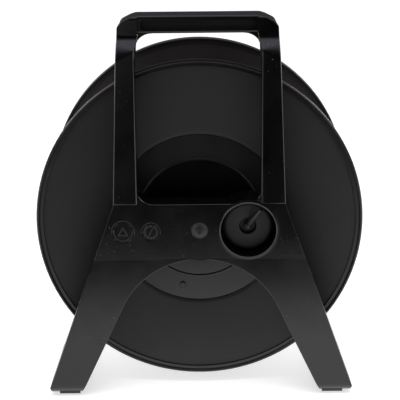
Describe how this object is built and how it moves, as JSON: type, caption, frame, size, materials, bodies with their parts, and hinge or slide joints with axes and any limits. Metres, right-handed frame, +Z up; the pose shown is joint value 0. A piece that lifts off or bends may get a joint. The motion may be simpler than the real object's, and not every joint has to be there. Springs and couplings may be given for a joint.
{
  "type": "extension cord reel",
  "caption": "Empty cable drum with two dished flanges, a hollow core, a moulded stand with a hand grip, a knob brake and a crank.",
  "frame": {"origin": "on the floor, under the middle of the bounding box in X and Y", "axes": "+Z up; the drum's axle lies along Y, 166 mm above the floor; the stand is at the -Y end and the crank at the +Y end; +X is the brake's side"},
  "size_m": [0.3112, 0.2284, 0.3668],
  "materials": {
    "stand": "satin black moulded plastic with a fine grain",
    "drum": "satin black moulded plastic, slightly lighter than the stand",
    "hub_plate": "satin black moulded plastic, smoother than the flanges",
    "foot_rubber": "dull black rubber",
    "steel": "plain zinc-plated steel",
    "axle": "satin black coated steel",
    "bush": "plain natural nylon",
    "grommet": "soft black rubber",
    "knob": "satin black plastic",
    "crank": "satin black plastic",
    "brake": "plain natural nylon",
    "lining": "dull friction rubber"
  },
  "bodies": {
    "stand": {"stand_frame": "stand", "foot_pads": "foot_rubber", "axle": "axle", "axle_nut": "steel", "rear_washer": "steel", "front_washer": "steel"},
    "drum": {"rear_flange": "drum", "drum_core": "drum", "hub_plate": "hub_plate", "front_flange": "drum", "front_hub": "drum", "hub_cover": "drum", "drum_screws": "steel", "cover_screws": "steel", "rear_bush": "bush", "front_bush": "bush", "cord_grommet": "grommet", "crank_pin": "steel"},
    "crank": {"crank_knob": "crank", "crank_cap": "crank"},
    "brake_knob": {"brake_knob": "knob", "brake_lever": "knob", "brake_spindle": "steel", "spindle_clip": "steel"},
    "brake_shoe": {"brake_shoe": "brake", "brake_pad": "lining"}
  },
  "joints": [
    {"name": "drum_spin", "type": "hinge", "parent": "stand", "child": "drum", "pos_m": [0, -0.01265, 0.1661], "axis": [0, 1, 0], "continuous": true},
    {"name": "crank_spin", "type": "hinge", "parent": "drum", "child": "crank", "pos_m": [0, 0.0921, 0.0481], "axis": [0, 1, 0], "continuous": true},
    {"name": "brake_turn", "type": "hinge", "parent": "stand", "child": "brake_knob", "pos_m": [0.0454, -0.09265, 0.1661], "axis": [0, 1, 0], "range_deg": [0, 90]},
    {"name": "shoe_slide", "type": "slide", "parent": "stand", "child": "brake_shoe", "axis": [0, 1, 0], "range_m": [0, 0.002]}
  ],
  "couplings": [
    {"joint": "shoe_slide", "follows": "brake_turn", "m_per_rad": 0.0012732}
  ]
}
